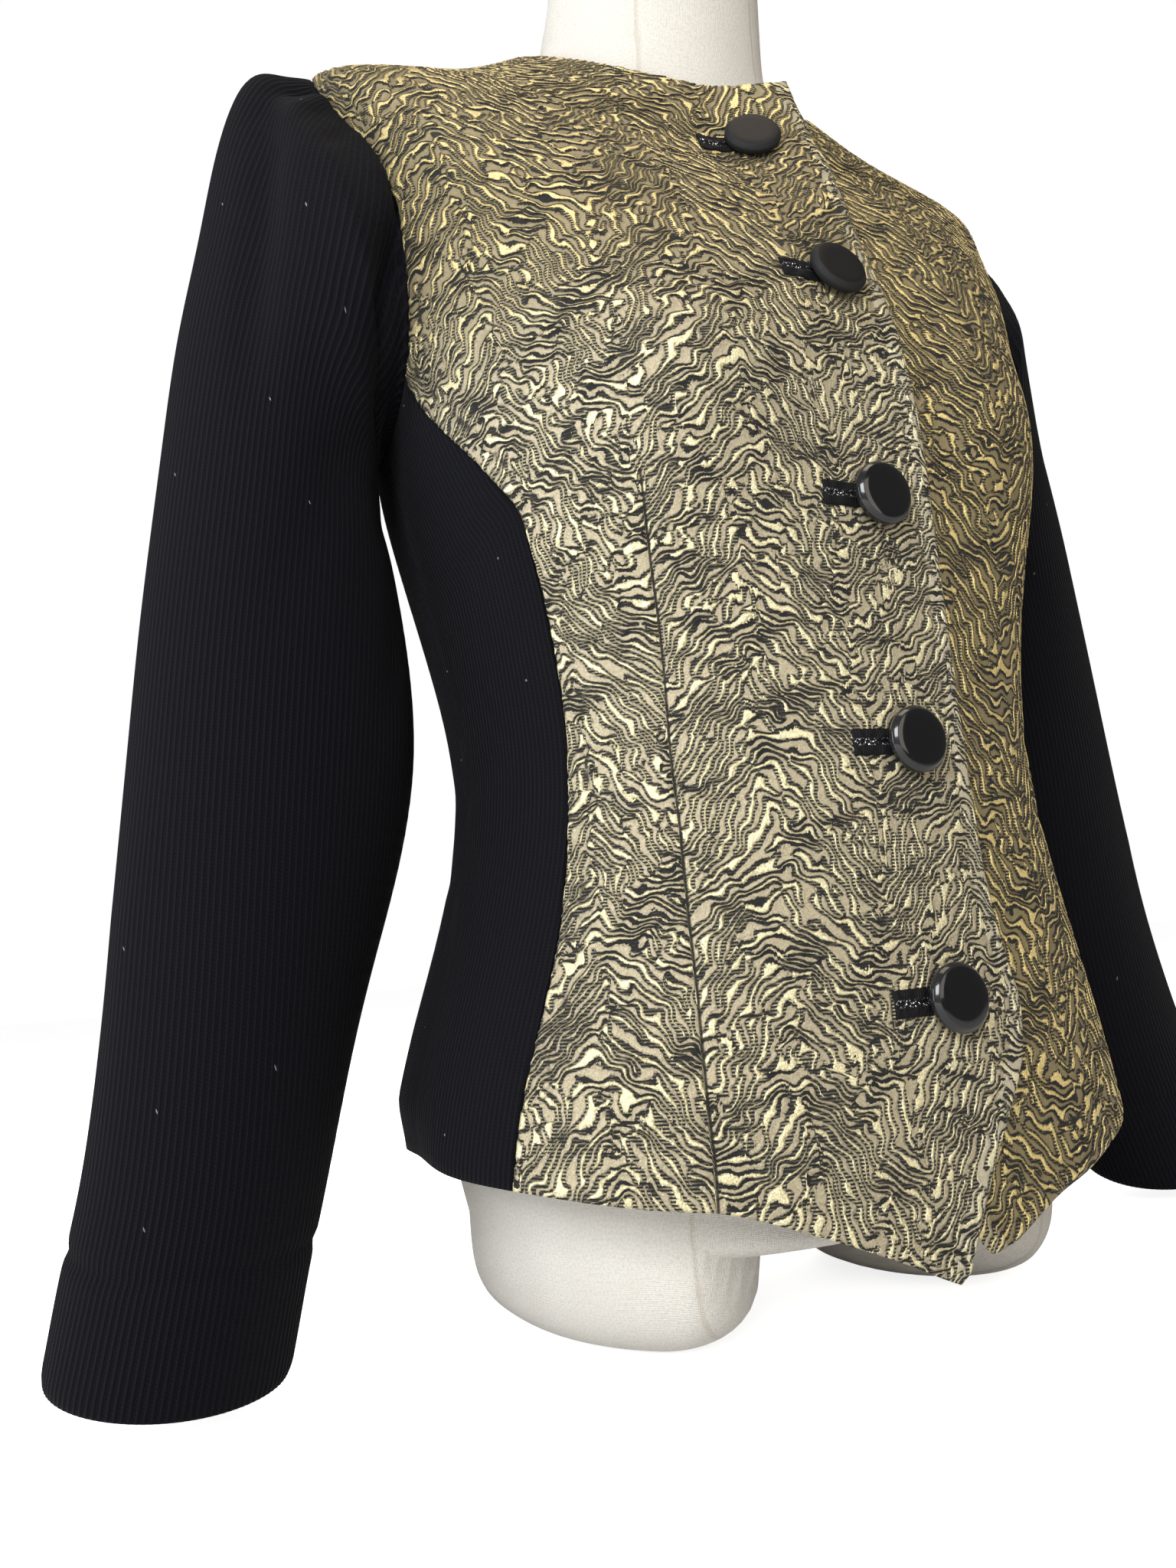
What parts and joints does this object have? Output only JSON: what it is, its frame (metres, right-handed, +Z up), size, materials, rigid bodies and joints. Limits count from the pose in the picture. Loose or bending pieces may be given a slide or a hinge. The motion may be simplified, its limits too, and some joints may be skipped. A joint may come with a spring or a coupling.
{
  "type": "blazer on a dress form",
  "caption": "Fitted collarless blazer with gold brocade fronts, black rib-knit sides and sleeves and large round buttons, on a limbless linen dress form.",
  "frame": {"origin": "bottom centre of the bounding box, on the surface that the dress form stands on", "axes": "+Z up, -Y the wearer's front, +X the wearer's left"},
  "size_m": [0.66, 0.2832, 0.739],
  "materials": {
    "brocade_gold": "jacquard weave with metallic yarn",
    "knit_black": "matt rib knit",
    "linen": "plain woven linen over a firm body",
    "button_black": "polished, bevelled rim",
    "welt_black": "satin binding"
  },
  "bodies": {
    "root": {"dress_form": "linen", "front_right": "brocade_gold", "front_left": "brocade_gold", "side_right": "knit_black", "side_left": "knit_black", "back": "knit_black", "sleeve_right": "knit_black", "sleeve_left": "knit_black", "button_1": "button_black", "buttonhole_1": "welt_black", "button_2": "button_black", "buttonhole_2": "welt_black", "button_3": "button_black", "buttonhole_3": "welt_black", "button_4": "button_black", "buttonhole_4": "welt_black", "button_5": "button_black", "buttonhole_5": "welt_black"}
  },
  "joints": []
}
